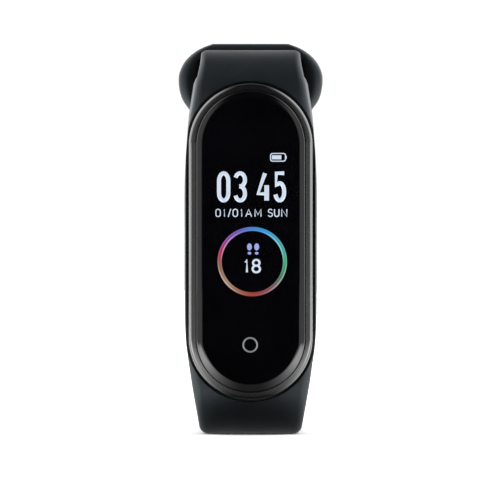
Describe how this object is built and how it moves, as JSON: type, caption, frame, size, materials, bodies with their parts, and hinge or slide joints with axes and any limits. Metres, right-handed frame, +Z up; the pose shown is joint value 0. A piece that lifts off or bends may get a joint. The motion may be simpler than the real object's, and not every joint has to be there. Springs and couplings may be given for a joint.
{
  "type": "fitness tracker band",
  "caption": "Wrist band with an oval glass-fronted sensor capsule in a soft rubber strap, closed through an oval ring end and held by a snap button.",
  "frame": {"origin": "middle of the base, where the closed band stands on its lower run", "axes": "+Z up along the display's length, -Y out of the display, +X to the right of someone who looks at the display"},
  "size_m": [0.0226, 0.0504, 0.0596],
  "materials": {
    "strap_rubber": "matte moulded TPU",
    "button_steel": "satin",
    "capsule_black": "satin with a polished rim",
    "cover_glass": "polished, printed black behind",
    "seal_black": "matte",
    "film_black": "matte",
    "display_black": "gloss",
    "inner_steel": "satin",
    "flex_amber": "satin film",
    "board_green": "solder mask",
    "chip_black": "moulded",
    "battery_foil": "foil pouch",
    "lead_red": "insulation",
    "lead_black": "insulation",
    "rotor_weight": "sintered",
    "led_green": "clear resin",
    "sensor_lens": "dark polished window",
    "contact_gold": "gold plated"
  },
  "bodies": {
    "cradle": {"strap_cradle": "strap_rubber"},
    "upper_arm": {"strap_upper_arm": "strap_rubber"},
    "tongue_end": {"strap_tongue_end": "strap_rubber"},
    "tail": {"strap_tail": "strap_rubber", "button_disc": "button_steel", "button_pin": "button_steel"},
    "lower_arm": {"strap_lower_arm": "strap_rubber"},
    "ring_arm": {"strap_ring_arm": "strap_rubber"},
    "rotor": {"motor_rotor": "rotor_weight"},
    "capsule": {"capsule_shell": "capsule_black", "cover_glass": "cover_glass", "glass_gasket": "seal_black", "touch_sensor": "film_black", "touch_flex": "flex_amber", "display_panel": "display_black", "display_flex": "flex_amber", "display_bracket": "inner_steel", "main_board": "board_green", "shield_can": "inner_steel", "processor_chip": "chip_black", "memory_chip": "chip_black", "power_chip": "chip_black", "motion_sensor_chip": "chip_black", "clock_crystal": "inner_steel", "display_connector": "chip_black", "sensor_connector": "chip_black", "battery_cell": "battery_foil", "battery_board": "board_green", "battery_lead_positive": "lead_red", "battery_lead_negative": "lead_black", "antenna_strip": "contact_gold", "motor_base": "inner_steel", "motor_cover": "inner_steel", "motor_shaft": "inner_steel", "heart_rate_board": "board_green", "pulse_led_upper": "led_green", "pulse_led_lower": "led_green", "photodiode": "chip_black", "sensor_baffle": "film_black", "sensor_lens": "sensor_lens", "sensor_flex": "flex_amber", "charge_contact_left": "contact_gold", "charge_contact_right": "contact_gold", "contact_spring_left": "contact_gold", "contact_spring_right": "contact_gold"}
  },
  "joints": [
    {"name": "loop_lean", "type": "hinge", "parent": "cradle", "child": "lower_arm", "pos_m": [0, -0.009, 0.0011], "axis": [1, 0, 0], "range_deg": [-20, 20], "stiffness_Nm_per_rad": 0.06},
    {"name": "lower_back_flex", "type": "hinge", "parent": "lower_arm", "child": "ring_arm", "pos_m": [0, 0.005, 0.0011], "axis": [1, 0, 0], "range_deg": [-20, 20]},
    {"name": "upper_front_flex", "type": "hinge", "parent": "cradle", "child": "upper_arm", "pos_m": [0, 0.0025, 0.0561], "axis": [1, 0, 0], "range_deg": [-20, 20]},
    {"name": "upper_back_flex", "type": "hinge", "parent": "upper_arm", "child": "tongue_end", "pos_m": [0, 0.0165, 0.0561], "axis": [1, 0, 0], "range_deg": [-20, 20]},
    {"name": "tail_lift", "type": "hinge", "parent": "tongue_end", "child": "tail", "pos_m": [0, 0.0235, 0.0477], "axis": [1, 0, 0], "range_deg": [0, 75], "stiffness_Nm_per_rad": 0.005},
    {"name": "capsule_release", "type": "slide", "parent": "cradle", "child": "capsule", "axis": [0, -1, 0], "range_m": [0, 0.014]},
    {"name": "motor_spin", "type": "hinge", "parent": "capsule", "child": "rotor", "pos_m": [0, -0.01945, 0.0176], "axis": [0, 1, 0], "continuous": true}
  ],
  "couplings": [
    {"joint": "lower_back_flex", "follows": "loop_lean", "ratio": -1},
    {"joint": "upper_front_flex", "follows": "loop_lean", "ratio": 1},
    {"joint": "upper_back_flex", "follows": "loop_lean", "ratio": -1}
  ]
}
